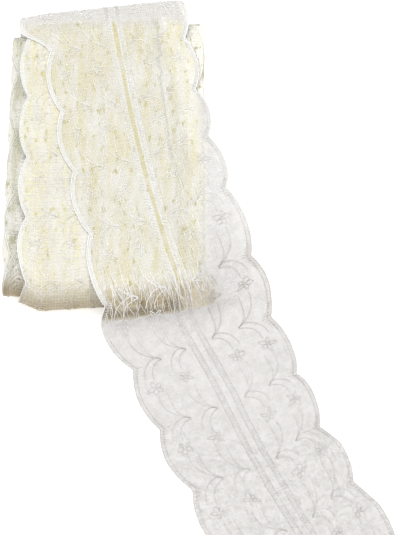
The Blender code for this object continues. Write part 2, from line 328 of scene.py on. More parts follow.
def lap_surface(depth, shift, skew, width=LAP_WIDTH_SHARE):
    """A function from (v, u) to points on one lap, which starts at the middle of the roll's far fold."""
    radius = depth * ROLL_HEIGHT / 2
    quarter = math.pi / 2 * radius
    slope = math.tan(math.radians(skew))

    def points(v, u):
        s = np.mod(v, lap_length(depth))
        top = (s > quarter) & (s <= quarter + 2 * ROLL_RUN)
        front = (s > quarter + 2 * ROLL_RUN) & (s <= 3 * quarter + 2 * ROLL_RUN)
        base = (s > 3 * quarter + 2 * ROLL_RUN) & (s <= 3 * quarter + 4 * ROLL_RUN)
        last = s > 3 * quarter + 4 * ROLL_RUN
        turned = s / radius
        turned = np.where(front, (s - 2 * ROLL_RUN) / radius, turned)
        turned = np.where(last, (s - 4 * ROLL_RUN) / radius, turned)
        y = np.where(front, -ROLL_RUN, ROLL_RUN) + radius * np.cos(turned)
        z = radius * np.sin(turned)
        y = np.where(top, ROLL_RUN - (s - quarter), y)
        z = np.where(top, radius, z)
        y = np.where(base, -ROLL_RUN + (s - 3 * quarter - 2 * ROLL_RUN), y)
        z = np.where(base, -radius, z)
        x = shift + slope * y + u * width
        height = (z + ROLL_HEIGHT / 2) * side_share(x)
        near_end = np.minimum(1.0, np.abs(y) / (ROLL_LENGTH / 2))
        pulled = FRONT_ROUND_BY * smooth_step((np.abs(x) - FRONT_ROUND_FROM) / FRONT_ROUND_OVER)
        rise = height / ROLL_HEIGHT
        slump = rim_slump(x, y)
        height = height * (1 - RIM_SLUMP_LOWER * slump) * (1 - PRESSED_BY * pressed_share(x, y))
        front_y = y * (1 - pulled) * (1 + RIM_SLUMP_REACH * slump)
        front_y = front_y + (FRONT_SLANT * x - FRONT_SAG * (1 - rise)) * near_end
        far_y = y * FAR_STRETCH + (FAR_SLANT * x + FAR_LEAN * rise) * near_end
        height = height + crease(x, y) * smooth_step((z / (ROLL_HEIGHT / 2) - 0.5) * 2)
        return np.stack([x, np.where(y < 0, front_y, far_y), np.maximum(height, LAP_LOWEST)], axis=1)

    return points


def curve_through(corners, per_span=4, closed=False):
    """A smooth curve through these corners, as an array of points."""
    corners = np.array(corners, float)
    if closed:
        knots = np.vstack([corners[-1:], corners, corners[:2]])
    else:
        knots = np.vstack([corners[0] * 2 - corners[1], corners, corners[-1] * 2 - corners[-2]])
    found = []
    for a, b, c, d in zip(knots, knots[1:], knots[2:], knots[3:]):
        for t in np.linspace(0, 1, per_span, endpoint=False):
            square, cube = 2 * a - 5 * b + 4 * c - d, 3 * b - a - 3 * c + d
            found.append(0.5 * (2 * b + (c - a) * t + square * t**2 + cube * t**3))
    if not closed:
        found.append(corners[-1])
    return np.array(found)


def plan_line():
    """The loose end's middle line in plan: points of a smooth curve, and how far along it each one is."""
    points = curve_through(LOOSE_PATH, 12)
    steps = np.linalg.norm(np.diff(points, axis=0), axis=1)
    return points, np.concatenate([[0], np.cumsum(steps)])


PLAN_POINTS, PLAN_WALKED = plan_line()
TUCK = TUCK_RADIUS * (math.pi / 2 - TUCK_START)


def past_brink(v, u):
    """How far a place on the loose end lies past the brink of the front fold."""
    return v - TUCK - BRINK_PLACE - BRINK_SLANT * u


def on_line(distance):
    """Places and headings on the middle line at these distances from its far fold."""

    def at(walked):
        return np.stack([np.interp(walked, PLAN_WALKED, PLAN_POINTS[:, k]) for k in (0, 1)], axis=1)

    ahead, behind = at(distance + HEADING_REACH), at(distance - HEADING_REACH)
    heading = np.arctan2(ahead[:, 0] - behind[:, 0], behind[:, 1] - ahead[:, 1])
    share = smooth_step(distance / HEADING_OVER)
    return at(distance), FOLD_HEADING + (heading - FOLD_HEADING) * share


def drop_profile(past):
    """The sheet that far past the front fold's brink: how far it has got in plan, and its height."""
    top = ROLL_HEIGHT + REST_GAP
    turn = DROP_RADIUS * DROP_ANGLE
    turn_plan = DROP_RADIUS * math.sin(DROP_ANGLE)
    turn_drop = DROP_RADIUS * (1 - math.cos(DROP_ANGLE))
    foot = FOOT_RADIUS * DROP_ANGLE
    foot_plan = FOOT_RADIUS * math.sin(DROP_ANGLE)
    foot_drop = FOOT_RADIUS * (1 - math.cos(DROP_ANGLE))
    fall = (top - turn_drop - foot_drop) / math.sin(DROP_ANGLE)
    fall_plan = fall * math.cos(DROP_ANGLE)
    whole_plan = turn_plan + fall_plan + foot_plan
    angle = np.clip(past / DROP_RADIUS, 0, DROP_ANGLE)
    fallen = np.clip(past - turn, 0, fall)
    last = np.clip(DROP_ANGLE - (past - turn - fall) / FOOT_RADIUS, 0, DROP_ANGLE)
    plan = np.where(past < 0, past, DROP_RADIUS * np.sin(angle) + fallen * math.cos(DROP_ANGLE))
    height = top - DROP_RADIUS * (1 - np.cos(angle)) - fallen * math.sin(DROP_ANGLE)
    on_foot = past > turn + fall
    beyond = np.maximum(0, past - turn - fall - foot)
    plan = np.where(on_foot, whole_plan - FOOT_RADIUS * np.sin(last) + beyond, plan)
    height = np.where(on_foot, FOOT_RADIUS * (1 - np.cos(last)), height)
    return plan, height


def ramp_profile(past):
    """The same for the side that overhangs the roll: it comes down in one long slope."""
    lost = RAMP_AFTER - drop_profile(np.array([RAMP_AFTER]))[0][0]
    share = np.clip((past + RAMP_BEFORE) / (RAMP_AFTER + RAMP_BEFORE), 0, 1)
    return past - lost * share, (ROLL_HEIGHT + REST_GAP) * (1 - smooth_step(share))


def floor_wave(past, across):
    """How far the sheet lifts off the surface in its low waves."""
    lift = np.zeros_like(past)
    for wave in FLOOR_WAVES:
        side = across - wave["across"]
        along = past - wave["along"]
        lift += wave["height"] * np.exp(-((along / wave["length"]) ** 2) - (side / wave["width"]) ** 2)
    return lift


def tail_crumple(past, across):
    """The small crumples of the loose end on the surface, stronger towards its cut end."""
    broad = 0.00040 * smooth_step((past - 0.04) / 0.03) + 0.00050 * smooth_step((past - 0.08) / 0.05)
    close = 0.00035 * smooth_step((past - 0.10) / 0.04)
    one = np.sin(past * 210 + 2.2 * np.sin(across * 90))
    one = one * np.sin(across * 160 + 2.6 * np.sin(past * 110 + 1.0))
    other = np.sin(past * 620 + 3.0 * np.sin(across * 240))
    other = other * np.sin(across * 560 + 3.0 * np.sin(past * 310))
    return broad * (1 + one) + close * (1 + other)


def fold_flare(past_fold, across):
    """How much wider the sheet's left side spreads where it turns over the far fold."""
    leftness = np.clip(-2 * across / LACE_WIDTH, 0, 1)
    return 1 + FLARE_BY * leftness * smooth_step(1 - np.maximum(past_fold, 0) / FLARE_OVER)


def side_settle(past, across):
    """How far a place lags in plan, and the share that is left of its distance from the middle."""
    places = [row["past"] for row in SIDE_SETTLE]
    columns = {name: [row[name] for row in SIDE_SETTLE] for name in ("lag", "left", "right")}
    lag, left, right = (np.interp(past, places, column) for column in columns.values())
    rightness = smooth_step(across / SETTLE_OVER)
    leftness = smooth_step(-across / SETTLE_OVER)
    return lag * rightness, 1 + (left - 1) * leftness + (right - 1) * rightness


def loose_surface(v, u):
    """Points on the loose end, halfway through its thickness."""
    angle = np.minimum(TUCK_START + v / TUCK_RADIUS, math.pi / 2)
    back = TUCK_RADIUS * np.cos(angle)
    flare = fold_flare(v - TUCK, u)
    side = u * WIDTH_ON_ROLL * flare
    tucked = np.stack(
        [
            LOOSE_PATH[0][0] + side * math.cos(FOLD_HEADING) - back * math.sin(FOLD_HEADING),
            LOOSE_PATH[0][1] + side * math.sin(FOLD_HEADING) + back * math.cos(FOLD_HEADING),
            ROLL_HEIGHT / 2 + TUCK_RADIUS * np.sin(angle),
        ],
        axis=1,
    )
    past = past_brink(v, u)
    overhang = smooth_step((u - OVERHANG_FROM) / OVERHANG_OVER)
    steep_plan, steep_height = drop_profile(past)
    ramp_plan, ramp_height = ramp_profile(past)
    lag, kept = side_settle(v - TUCK - BRINK_PLACE, u)
    gone = past - (steep_plan + (ramp_plan - steep_plan) * overhang) + lag
    height = steep_height + (ramp_height - steep_height) * overhang
    middle, heading = on_line(v - TUCK - gone)
    spread = smooth_step((past - SPREAD_FROM) / SPREAD_OVER)
    side = u * flare * kept * (WIDTH_ON_ROLL + (1 - WIDTH_ON_ROLL) * spread)
    x, y = middle[:, 0] + side * np.cos(heading), middle[:, 1] + side * np.sin(heading)
    laid = np.stack([x, y, height], axis=1)
    found = np.where((v < TUCK)[:, None], tucked, laid)
    found[:, 2] *= side_share(found[:, 0])
    found[:, 2] += np.where(v < TUCK, 0, floor_wave(past, u))
    found[:, 2] += SHEET_LIFT * smooth_step((past - LIFT_FROM) / LIFT_OVER)
    found[:, 2] += crease(found[:, 0], found[:, 1]) * smooth_step((found[:, 2] / ROLL_HEIGHT - 0.75) * 4)
    found[:, 2] += tail_crumple(past, u)
    return found


LOOSE_LENGTH = TUCK + PLAN_WALKED[-1] + RAMP_AFTER - drop_profile(np.array([RAMP_AFTER]))[0][0]


# Threads on the strip


class Threads:
    """Runs of thread on the strip: their points as (v, u), the edges between them, their radii and lifts."""

    def __init__(self, phase):
        self.phase = phase
        self.v, self.u, self.radius, self.lift, self.edges = [], [], [], [], []
        self.count = 0

    def run(self, v, u, radius, lift=0.0, trim=0.0004, closed=False):
        """Adds one run. A stretch of it outside the strip's scalloped edge is left out."""
        v = np.asarray(v, float)
        u = np.asarray(u, float)
        first = self.count + np.arange(len(v) - 1)
        edges = np.stack([first, first + 1], axis=1)
        if closed:
            edges = np.vstack([edges, [self.count + len(v) - 1, self.count]])
        inside = np.abs(u) <= half_width(v / REPEAT + self.phase) - trim
        edges = edges[inside[edges[:, 0] - self.count] & inside[edges[:, 1] - self.count]]
        self.v.append(v)
        self.u.append(u)
        self.radius.append(np.full(len(v), radius))
        self.lift.append(np.full(len(v), lift))
        self.edges.append(edges)
        self.count += len(v)

    def laid(self, surface, swell=None, beyond=0.0):
        """The points in space, the edges and the radii, which swell multiplies as a function of (v, u).

        Edges nearer to the strip's middle than that distance are left out.
        """
        v, u = np.concatenate(self.v), np.concatenate(self.u)
        lift = np.concatenate(self.lift)
        step = 0.0004
        along = surface(v + step, u) - surface(v - step, u)
        across = surface(v, u + step) - surface(v, u - step)
        normal = np.cross(across, -along)
        normal /= np.maximum(np.linalg.norm(normal, axis=1), 1e-12)[:, None]
        points = surface(v, u) + normal * lift[:, None]
        points[:, 2] = np.maximum(points[:, 2], THREAD_LOWEST)
        edges = np.concatenate(self.edges)
        edges = edges[np.abs(u[edges]).min(axis=1) >= beyond]
        radius = np.concatenate(self.radius)
        if swell:
            radius = radius * swell(v, u)
        used, edges = np.unique(edges, return_inverse=True)
        return points[used], edges.reshape(-1, 2), radius[used]


def add_wales(threads, start, end, wale_radius=LAP_WALE_RADIUS, wale_step=LAP_WALE_STEP, pulled=None):
    """The threads of the ground that run along the strip. Pulled gives how far each one is drawn aside."""
    wales = int(LACE_WIDTH / 2 / WALE_PITCH)
    v = np.arange(start, end + wale_step / 2, wale_step)
    for k in range(-wales, wales + 1):
        u = k * WALE_PITCH + WALE_SWAY * np.sin(v * (190 + 23 * (k % 5)) + k * 2.4)
        u = u + WALE_QUIVER * np.sin(v * 1210 + k)
        if pulled:
            u = u + pulled(v, u, k)
        threads.run(v, u, wale_radius, trim=BORDER_BAND)


def add_rows(threads, start, end, row_radius=LAP_ROW_RADIUS):
    """The threads of the ground that zigzag across the strip."""
    wales = int(LACE_WIDTH / 2 / WALE_PITCH)
    u = np.arange(-wales, wales + 1) * WALE_PITCH
    zigzag = ROW_ZIGZAG * (-1.0) ** np.arange(len(u))
    for row in range(int((end - start) / ROW_PITCH)):
        sway = ROW_SWAY * np.sin(u * 170 + row * 1.9) + ROW_UNEVEN * np.sin(row * 2.7)
        v = start + (row + 0.5) * ROW_PITCH + zigzag * (1 if row % 2 else -1) + sway
        threads.run(v, u, row_radius, trim=BORDER_BAND)


def add_edging(threads, start, end):
    """The scalloped border: an outer and an inner cord, with a thread that zigzags between them."""
    v = np.arange(start, end, BORDER_STEP)
    half = half_width(v / REPEAT + threads.phase)
    for side in (-1, 1):
        threads.run(v, side * (half - BORDER_INSET), CORD_RADIUS, BORDER_LIFT, trim=0)
        threads.run(v, side * (half - BORDER_BAND), OUTLINE_RADIUS * 0.8, BORDER_LIFT, trim=0)
        fine = np.arange(start, end, BORDER_ZIGZAG_STEP)
        inset = np.where(np.arange(len(fine)) % 2, -0.0003, BORDER_BAND)
        across = side * (half_width(fine / REPEAT + threads.phase) - inset)
        threads.run(fine, across, FILL_RADIUS, trim=-0.0005)
        add_notch_hatch(threads, side, start, end)


def add_notch_hatch(threads, side, start, end):
    """The close stitches inside the border on both sides of each notch."""
    first = math.ceil(start / REPEAT + threads.phase)
    last = math.floor(end / REPEAT + threads.phase)
    for repeat in range(first, last + 1):
        notch = (repeat - threads.phase) * REPEAT
        for k in range(-HATCH_EACH_SIDE, HATCH_EACH_SIDE + 1):
            v = notch + k * HATCH_PITCH
            reach = HATCH_REACH - HATCH_TAPER * abs(k)
            half = half_width(v / REPEAT + threads.phase)
            across = [side * (half - HATCH_INSET), side * (half - reach)]
            if start < v < end:
                threads.run([v, v + HATCH_SLANT], across, FILL_RADIUS, LADDER_LIFT)


def add_ladder(threads, rungs, start, end):
    """The middle: two narrow ladders, each one's rails and the thread that zigzags between them."""
    v = np.arange(start, end, RAIL_STEP)
    fine = np.arange(start, end, RUNG_PITCH / 2)
    odd = np.arange(len(fine)) % 2
    for side in (-1, 1):
        for column in LADDER_COLUMNS:
            threads.run(v, np.full(len(v), side * column), OUTLINE_RADIUS, LADDER_LIFT)
        rungs.run(fine, side * np.where(odd, *LADDER_COLUMNS), FILL_RADIUS, LADDER_LIFT)


def add_sprays(threads, start, end):
    """The flower sprays, an outer and an inner one on each half in every repeat."""
    first = math.floor(start / REPEAT + threads.phase)
    last = math.ceil(end / REPEAT + threads.phase)
    for repeat in range(first, last + 1):
        origin = (repeat - threads.phase) * REPEAT
        for spray in (OUTER_SPRAY, INNER_SPRAY):
            for side in (-1, 1):
                add_spray(threads, spray, origin, side, start, end)


def add_spray(threads, spray, origin, side, start, end):
    """One spray, if it lies whole within that stretch. Its petals are uneven, and the same at each run."""

    def put(points, radius, closed=False):
        v = origin + points[:, 1] / 1000
        u = side * points[:, 0] / 1000
        if v.min() > start and v.max() < end:
            threads.run(v, u, radius, FIGURE_LIFT, closed=closed)

    for stem in spray["stems"]:
        put(curve_through(stem, 3), OUTLINE_RADIUS)
    for arc in spray["leaves"]:
        put(curve_through(arc, 4), OUTLINE_RADIUS)
    u, v, radius = spray["flower"]
    rng = np.random.default_rng(int(round(abs(origin) * 1000)) * 2 + (side > 0) + int(u))
    for turn in np.linspace(0, 2 * math.pi, 6)[:5] + rng.uniform(-0.25, 0.25, 5):
        away = np.array([math.cos(turn), math.sin(turn)])
        across = np.array([-away[1], away[0]])
        reach, breadth = radius * rng.uniform(0.8, 1.3), rng.uniform(0.7, 1.4)
        loop = [away * 0.6, away * 2.0 + across * breadth, away * reach, away * 2.0 - across * breadth]
        put(np.array([u, v]) + curve_through(loop, 3, closed=True), OUTLINE_RADIUS, closed=True)


def add_frays(threads):
    """The strands that the front fold has drawn out of line, in curved tufts over the drop."""
    rng = np.random.default_rng(FRAY_SEED)
    for u in np.linspace(*FRAY_PLACES):
        first = TUCK + BRINK_PLACE + BRINK_SLANT * u + rng.uniform(0.004, 0.014)
        reach = rng.uniform(0.007, 0.014)
        sideways = rng.uniform(-0.0015, 0.0050)
        share = np.linspace(0, 1, 9)
        for strand in range(FRAY_STRANDS):
            bow = sideways * share ** rng.uniform(1.2, 2.4) + strand * 0.0006 * (1 - share)
            threads.run(first + reach * share, u + bow, WALE_RADIUS * 1.1, FRAY_LIFT)


def whole_lace(phase, start, end):
    """All the threads of a stretch of lace."""
    threads = Threads(phase)
    add_wales(threads, start, end)
    add_rows(threads, start, end)
    add_edging(threads, start, end)
    add_ladder(threads, threads, start, end)
    add_sprays(threads, start, end)
    return threads


# Materials

# Waves a metre of each pattern, across, along and up, and the size of its marks
THREAD_GRAIN = (300, 300, 300)  # 3.3 mm: stretches of thread that lie lighter or darker
GROUND_GRAIN = (120, 60, 120)  # 8 by 17 mm: broad drifts of tone along the laps
# The rim, spot and streak grains lay out painted shade
RIM_GRAIN = (200, 45, 100)  # 5 by 22 mm: laps that have parted at the rim
SPOT_GRAIN = (480, 170, 300)  # 2 by 6 mm: small holes through several laps
STREAK_GRAIN = (330, 36, 100)  # 3 by 28 mm: long streaks where laps have parted
# The tail grain paints the shade of these crumples into the colour
TAIL_GRAIN = (300, 240, 300)  # 3.3 by 4.2 mm: small crumples of the single layer
ROUGH_SCALE = 420.0  # 2.4 mm: the unevenness of the net
CRINKLE_SCALE = 230.0  # 4.3 mm: the crinkles towards the cut end
WOBBLE_SCALE = 110.0  # 9 mm: the sway of the lap's edge that shows through
ROW_SCALE = 150.0  # 2.1 mm, the rows of the net: this texture turns 20 x 150 radians a metre

# Where each colour takes over: on each axis, in metres, the place with none of it and the one with all of it
# The painted shade of the front fold
ON_FRONT_FOLD = (("Z", 0.026, 0.009), ("Y", -0.063, -0.073))
ON_RIGHT_SIDE = (("X", 0.0, 0.03),)
# The painted shade of the laps parted at the left rim, with its paler outer edge
ON_LEFT_RIM = (("X", -0.037, -0.042), ("Z", 0.008, 0.012))
WITHIN_LEFT_RIM = (("X", -0.0460, -0.0435),)
# Where the painted light and shade of the loose end change: over the right side, off the roll, near the end
# and at the far fold
OVER_RIGHT_SIDE = (("X", 0.040, 0.050),)
ON_ROLL = (("Y", -0.104, -0.080),)
NEAR_END = (("Y", -0.030, -0.055),)
AT_FAR_FOLD = (("Y", 0.02, 0.06),)
AT_CUT_END = (("Y", -0.120, -0.170),)

# Where the painted grey shade along the edge of the lap below runs, at its far and its near end on the loose
# end: (v, u)
EDGE_BELOW = ((TUCK + 0.010, 0.0172), (TUCK + 0.098, 0.0100))
EDGE_SWAY = 0.0085
EDGE_LINE = (0.0011, 0.0003)
EDGE_FADE = 0.004

# Painted shade: the grey along the edge of the lap below, the warm depth in the ladders' gap, and the brown
# and the dark behind the drop and its slits. The band colour is the paler closer work.
LAP_EDGE_SHADE_COLOUR = "CDCCC6"
BAND_COLOUR = "DADBD8"
GAP_SHADE_COLOUR = "D6CC8E"
DROP_SHADE_COLOUR = "B8AA8A"
SLIT_SHADE_COLOUR = "766849"
STREAK_SHARE = 0.55

THREAD_ROUGHNESS = 0.8
GROUND_ROUGHNESS = 0.85
CLOTH = {
    "Specular IOR Level": 0.25,
    "Sheen Weight": 0.15,
    "Sheen Roughness": 0.5,
    "Subsurface Weight": 0.5,
    "Subsurface Radius": (1.0, 1.0, 0.9),
    "Subsurface Scale": 0.001,
}
RELIEF = {"Strength": 0.6, "Distance": 0.0008}
ROW_RELIEF = 0.30
TAIL_ROW_RELIEF = 0.10
CRINKLE_RELIEF = 4.5


def linear(hex_colour):
    """A linear colour from an sRGB hex string."""
    parts = [int(hex_colour[i : i + 2], 16) / 255 for i in (0, 2, 4)]
    return tuple(c / 12.92 if c <= 0.04045 else ((c + 0.055) / 1.055) ** 2.4 for c in parts) + (1.0,)


def node(tree, kind, settings=None, links=None):
    """Adds a node, sets its sockets, by name or number, or its properties, and links its inputs."""
    made = tree.nodes.new(kind)
    for name, value in (settings or {}).items():
        if isinstance(name, int) or name in made.inputs:
            made.inputs[name].default_value = value
        else:
            setattr(made, name, value)
    for name, source in (links or {}).items():
        tree.links.new(source, made.inputs[name])
    return made


def shades(tree, where, grain, low, high, places=(0.38, 0.62)):
    """A colour that drifts between two shades, with a grain of that many waves a metre each way."""
    spread = node(tree, "ShaderNodeMapping", {"Scale": grain}, {"Vector": where})
    even = {"Scale": 1.0, "Detail": 2.0}
    noise = node(tree, "ShaderNodeTexNoise", even, {"Vector": spread.outputs["Vector"]})
    ramp = node(tree, "ShaderNodeValToRGB", {}, {"Fac": noise.outputs["Fac"]})
    for element, place, colour in zip(ramp.color_ramp.elements, places, (low, high)):
        element.position = place
        element.color = linear(colour)
    return ramp.outputs["Color"]


def layered(tree, colour, *layers):
    """A colour with others laid over it in turn, each by its share. A colour is a socket or a hex string."""
    for share, over in layers:
        settings, links = {"data_type": "RGBA"}, {0: share}
        for socket, given in ((6, colour), (7, over)):
            if isinstance(given, str):
                settings[socket] = linear(given)
            else:
                links[socket] = given
        colour = node(tree, "ShaderNodeMix", settings, links).outputs[2]
    return colour


def region(tree, at, limits):
    """A share: 1 where each named value is past its second limit, and 0 where one is before its first."""
    share = None
    for name, none, full in limits:
        settings = {"interpolation_type": "SMOOTHSTEP", "From Min": none, "From Max": full}
        passed = node(tree, "ShaderNodeMapRange", settings, {"Value": at[name]}).outputs["Result"]
        if share is not None:
            both = {0: share, 1: passed}
            passed = node(tree, "ShaderNodeMath", {"operation": "MULTIPLY"}, both).outputs[0]
        share = passed
    return share


def cloth(name, roughness):
    """A matt cloth that lets a little light through, its tree, its shader and the sockets of a place."""
    made = bpy.data.materials.new(name)
    made.use_nodes = True
    tree = made.node_tree
    shader = tree.nodes["Principled BSDF"]
    for socket, value in {"Roughness": roughness, **CLOTH}.items():
        shader.inputs[socket].default_value = value
    whole = node(tree, "ShaderNodeTexCoord").outputs["Object"]
    parts = node(tree, "ShaderNodeSeparateXYZ", {}, {"Vector": whole}).outputs
    return made, tree, shader, {"whole": whole, "X": parts["X"], "Y": parts["Y"], "Z": parts["Z"]}


def lap_edge_shade_below(tree, strip):
    """1 along the wavy line of painted grey shade where the edge of the lap below shows through the loose
    end.
    """
    place = node(tree, "ShaderNodeSeparateXYZ", {}, {"Vector": strip}).outputs
    far, near = EDGE_BELOW
    ends = {"From Min": far[0], "From Max": near[0], "To Min": far[1], "To Max": near[1]}
    line = node(tree, "ShaderNodeMapRange", ends, {"Value": place["X"]}).outputs["Result"]
    wobble = node(tree, "ShaderNodeTexNoise", {"Scale": WOBBLE_SCALE, "Detail": 3.0}, {"Vector": strip})
    sway = {"operation": "MULTIPLY_ADD", 1: EDGE_SWAY}
    swayed = node(tree, "ShaderNodeMath", sway, {0: wobble.outputs["Fac"], 2: line}).outputs[0]
    offset = node(tree, "ShaderNodeMath", {"operation": "SUBTRACT"}, {0: place["Y"], 1: swayed}).outputs[0]
    off = node(tree, "ShaderNodeMath", {"operation": "ABSOLUTE"}, {0: offset}).outputs[0]
    limits = (("off", *EDGE_LINE), ("along", near[0] + EDGE_FADE, near[0] - EDGE_FADE))
    return region(tree, {"off": off, "along": place["X"]}, limits)


def thread_material(name, pair, tail=None, aside=None, front=None):
    """Matt cotton-like thread. Each pair is a darker and a lighter shade, or one far and one near.

    Tail is the thread on the surface, aside where it overhangs the roll's right side, and front where it
    turns down over the front fold: each a painted shade. On the roll it is painted paler, because light
    comes back from the laps below.
    """
    made, tree, shader, at = cloth(name, THREAD_ROUGHNESS)
    colour = shades(tree, at["whole"], THREAD_GRAIN, *pair)
    # Painted shade on the surface and over the right side, and painted light on the roll
    if tail:
        overhanging = layered(tree, aside[0], (region(tree, at, NEAR_END), aside[1]))
        colour = layered(tree, colour, (region(tree, at, OVER_RIGHT_SIDE), overhanging))
        on_surface = shades(tree, at["whole"], THREAD_GRAIN, *tail)
        colour = layered(tree, on_surface, (region(tree, at, ON_ROLL), colour))
    # Painted tan shade on the front fold
    if front:
        colour = layered(tree, colour, (region(tree, at, ON_FRONT_FOLD), front))
    tree.links.new(colour, shader.inputs["Base Color"])
    return made


def ground_material(name, pair, hole_shade, fields=(), tail=None, fold=None, front=None, right=None, rim=None):
    """The ground of fine net, too fine to draw thread by thread: a thin cloth with its rows as a low relief.

    The spots are painted shade: small and long places where the laps have parted and the warm depth of the
    roll shows. Right is the warmer right side, rim the painted shade of the parted laps at the left one, and
    front the painted shade of the front fold. Tail is the cloth where no laps lie below it, painted greyer
    as shade, and fold the same on the far fold. Fields name the sheet's own values: how much light it stops,
    how closely it is worked, where it stands clear, and where painted shade stands for the depth behind it.
    """
    made, tree, shader, at = cloth(name, GROUND_ROUGHNESS)
    whole = at["whole"]
    share = {}
    for field in fields:
        share[field] = node(tree, "ShaderNodeAttribute", {"attribute_name": field}).outputs["Fac"]
    strip = node(tree, "ShaderNodeUVMap", {"uv_map": "strip"}).outputs["UV"]
    colour = shades(tree, whole, GROUND_GRAIN, *pair)
    if right:
        colour = layered(tree, colour, (region(tree, at, ON_RIGHT_SIDE), right))
    # Painted grey-green shade of the laps parted at the left rim
    if rim:
        parted_laps_shade = shades(tree, whole, RIM_GRAIN, *rim, (0.42, 0.58))
        rim_shade_colour = layered(tree, rim[0], (region(tree, at, WITHIN_LEFT_RIM), parted_laps_shade))
        colour = layered(tree, colour, (region(tree, at, ON_LEFT_RIM), rim_shade_colour))
    # Painted shade of the holes through the laps: small spots, and long faint streaks
    small = shades(tree, whole, SPOT_GRAIN, "000000", "FFFFFF", (0.59, 0.71))
    long = shades(tree, whole, STREAK_GRAIN, "000000", "FFFFFF", (0.42, 0.66))
    faint = node(tree, "ShaderNodeMath", {"operation": "MULTIPLY", 1: STREAK_SHARE}, {0: long}).outputs[0]
    colour = layered(tree, colour, (faint, hole_shade[1]), (small, hole_shade[0]))
    if "band" in share:
        colour = layered(tree, colour, (share["band"], BAND_COLOUR))
    # Painted brown shade on the front fold
    if front:
        colour = layered(tree, colour, (region(tree, at, ON_FRONT_FOLD), front))
    # On the loose end, painted shade: the greyer cloth clear of the roll, mottled with the shade of small
    # crumples, the grey along the lap edge below, the warm depth in the ladders' gap, and the brown and the
    # dark behind the drop and its slits
    if tail:
        shaded_tail = layered(tree, shades(tree, whole, TAIL_GRAIN, *tail), (region(tree, at, AT_FAR_FOLD), fold))
        colour = layered(
            tree,
            colour,
            (share["clear"], shaded_tail),
            (lap_edge_shade_below(tree, strip), LAP_EDGE_SHADE_COLOUR),
            (share["gap"], GAP_SHADE_COLOUR),
            (share["drop"], DROP_SHADE_COLOUR),
            (share["slit"], SLIT_SHADE_COLOUR),
        )
    tree.links.new(colour, shader.inputs["Base Color"])
    rows = {"bands_direction": "X", "Scale": ROW_SCALE, "Distortion": 1.2}
    row = node(tree, "ShaderNodeTexWave", rows, {"Vector": strip}).outputs["Fac"]
    rough = node(tree, "ShaderNodeTexNoise", {"Scale": ROUGH_SCALE, "Detail": 3.0}, {"Vector": whole})
    blend = {"operation": "MULTIPLY_ADD", 1: TAIL_ROW_RELIEF if tail else ROW_RELIEF}
    height = node(tree, "ShaderNodeMath", blend, {0: row, 2: rough.outputs["Fac"]}).outputs[0]
    if tail:
        close = {"Scale": CRINKLE_SCALE, "Detail": 2.0}
        crinkle = node(tree, "ShaderNodeTexNoise", close, {"Vector": whole})
        both = {0: crinkle.outputs["Fac"], 1: region(tree, at, AT_CUT_END)}
        low = node(tree, "ShaderNodeMath", {"operation": "MULTIPLY"}, both).outputs[0]
        blend = {"operation": "MULTIPLY_ADD", 1: CRINKLE_RELIEF}
        height = node(tree, "ShaderNodeMath", blend, {0: low, 2: height}).outputs[0]
    relief = node(tree, "ShaderNodeBump", RELIEF, {"Height": height})
    tree.links.new(relief.outputs["Normal"], shader.inputs["Normal"])
    if "cover" in share:
        tree.links.new(share["cover"], shader.inputs["Alpha"])
    return made


# Thread building


def thread_tree():
    """The node tree that turns a wire mesh into round threads."""
    tree = bpy.data.node_groups.new("wind_threads", "GeometryNodeTree")
    face = tree.interface
    inputs = {"Geometry": "Geometry", "Sides": "Int", "Thickness": "Float", "Material": "Material"}
    for name, kind in inputs.items():
        face.new_socket(name, in_out="INPUT", socket_type="NodeSocket" + kind)
    face.new_socket("Geometry", in_out="OUTPUT", socket_type="NodeSocketGeometry")
    given = node(tree, "NodeGroupInput").outputs
    radius = node(tree, "GeometryNodeInputNamedAttribute", {"Name": "thread_radius"}).outputs["Attribute"]
    scale = node(tree, "ShaderNodeMath", {"operation": "MULTIPLY"}, {0: radius, 1: given["Thickness"]})
    curve = node(tree, "GeometryNodeMeshToCurve", {}, {"Mesh": given["Geometry"]})
    ring = node(tree, "GeometryNodeCurvePrimitiveCircle", {"Radius": 1.0}, {"Resolution": given["Sides"]})
    parts = {"Curve": curve.outputs["Curve"], "Profile Curve": ring.outputs["Curve"]}
    tube = node(tree, "GeometryNodeCurveToMesh", {}, {**parts, "Scale": scale.outputs[0]})
    whole = node(tree, "GeometryNodeRealizeInstances", {}, {"Geometry": tube.outputs["Mesh"]})
    coat = {"Geometry": whole.outputs["Geometry"], "Material": given["Material"]}
    coated = node(tree, "GeometryNodeSetMaterial", {}, coat)
    node(tree, "NodeGroupOutput", {}, {"Geometry": coated.outputs["Geometry"]})
    return tree


THREAD_TREE = thread_tree()


def put_in_scene(data, name):
    made = bpy.data.objects.new(name, data)
    bpy.context.scene.collection.objects.link(made)
    return made


def mesh_piece(name, points, faces, material):
    mesh = bpy.data.meshes.new(name)
    mesh.from_pydata(points.tolist(), [], faces)
    mesh.materials.append(material)
    mesh.shade_smooth()
    return put_in_scene(mesh, name)


def quads(columns, count, closed=True, first=0):
    """The faces between neighbouring columns of that many points each, counted from point `first`."""
    faces = []
    for column in range(columns - 1):
        for i in range(count if closed else count - 1):
            a, b = first + column * count + i, first + column * count + (i + 1) % count
            faces.append((a, b, b + count, a + count))
    return faces


